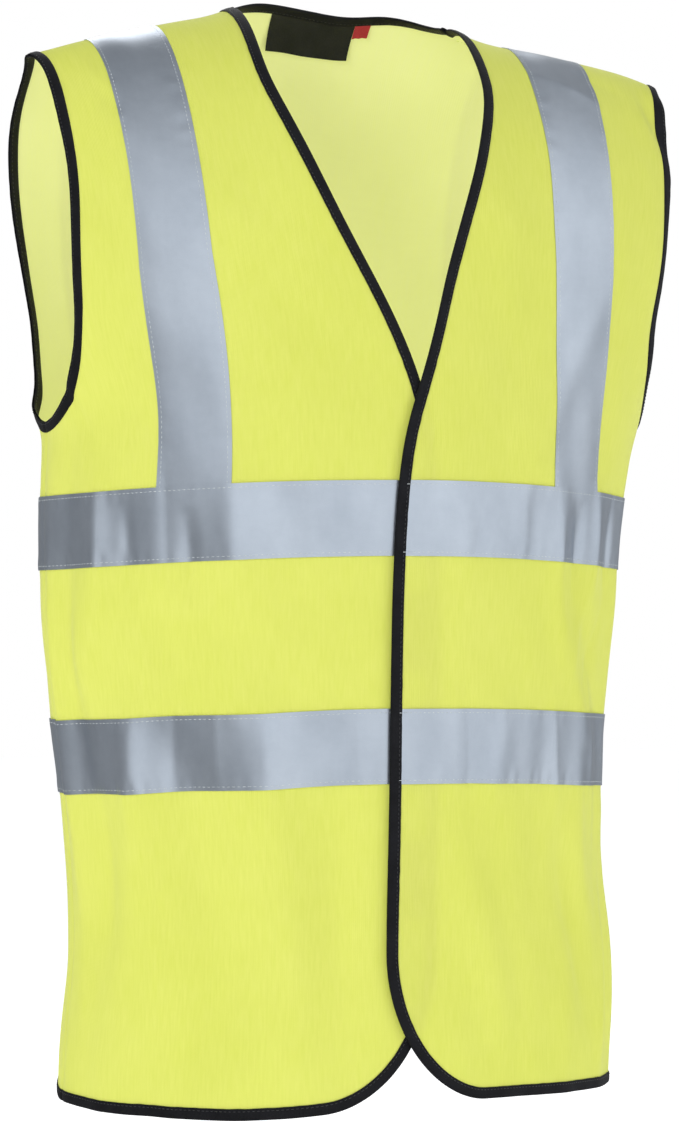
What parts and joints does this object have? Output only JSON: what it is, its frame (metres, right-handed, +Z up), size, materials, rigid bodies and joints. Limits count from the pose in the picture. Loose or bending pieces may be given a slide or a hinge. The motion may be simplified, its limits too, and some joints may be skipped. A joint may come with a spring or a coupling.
{
  "type": "high visibility vest",
  "caption": "Sleeveless high visibility waistcoat with reflective bands and braces, bound edges, a V neck and an overlapping hook-and-loop front.",
  "frame": {"origin": "midway between the two points where the shoulder seams meet the neck binding, where a hanger carries the garment", "axes": "+Z up, +X towards the wearer's left, -Y towards the front"},
  "size_m": [0.4702, 0.2758, 0.753],
  "materials": {
    "hi_vis_cloth": "fluorescent yellow warp-knitted polyester, matte, slightly translucent",
    "reflective_tape": "silver-grey retroreflective glass-bead tape, satin",
    "binding": "black woven polyester binding, low sheen",
    "hook_tape": "black nylon hook tape",
    "loop_tape": "black nylon loop tape, brushed",
    "neck_label": "black damask-woven label, blank",
    "size_tab": "red woven tab, blank",
    "care_label": "white satin label, blank"
  },
  "bodies": {
    "garment": {"back_panel": "hi_vis_cloth", "left_front_side": "hi_vis_cloth", "right_front_side": "hi_vis_cloth", "back_upper_band": "reflective_tape", "back_lower_band": "reflective_tape", "left_upper_band_side": "reflective_tape", "left_lower_band_side": "reflective_tape", "right_upper_band_side": "reflective_tape", "right_lower_band_side": "reflective_tape", "left_front_brace": "reflective_tape", "right_front_brace": "reflective_tape", "left_back_brace": "reflective_tape", "right_back_brace": "reflective_tape", "neck_binding": "binding", "hem_binding": "binding", "left_armhole_binding": "binding", "right_armhole_binding": "binding", "left_shoulder_seam": "hi_vis_cloth", "right_shoulder_seam": "hi_vis_cloth", "left_side_seam": "hi_vis_cloth", "right_side_seam": "hi_vis_cloth"},
    "left_front": {"left_front_flap": "hi_vis_cloth", "left_upper_band_flap": "reflective_tape", "left_lower_band_flap": "reflective_tape", "left_front_binding": "binding", "upper_hook_patch": "hook_tape", "lower_hook_patch": "hook_tape"},
    "right_front": {"right_front_flap": "hi_vis_cloth", "right_upper_band_flap": "reflective_tape", "right_lower_band_flap": "reflective_tape", "right_front_binding": "binding", "upper_loop_patch": "loop_tape", "lower_loop_patch": "loop_tape"},
    "neck_label": {"neck_label": "neck_label", "size_tab": "size_tab"},
    "care_label": {"care_label": "care_label"}
  },
  "joints": [
    {"name": "left_front_opening", "type": "hinge", "parent": "garment", "child": "left_front", "pos_m": [0.066, -0.1405, -0.09], "axis": [-0.1211, -0.0409, 0.9918], "range_deg": [0, 130]},
    {"name": "right_front_opening", "type": "hinge", "parent": "garment", "child": "right_front", "pos_m": [-0.066, -0.1405, -0.09], "axis": [-0.1211, 0.0409, -0.9918], "range_deg": [0, 98]},
    {"name": "neck_label_swing", "type": "hinge", "parent": "garment", "child": "neck_label", "pos_m": [0, 0.05063, 0.00061], "axis": [-1, 0, 0], "range_deg": [0, 120]},
    {"name": "care_label_swing", "type": "hinge", "parent": "garment", "child": "care_label", "pos_m": [0.184, 0.008, -0.591], "axis": [0, 0, 1], "range_deg": [0, 110]}
  ],
  "couplings": [
    {"joint": "right_front_opening", "follows": "left_front_opening", "ratio": 0.75}
  ]
}
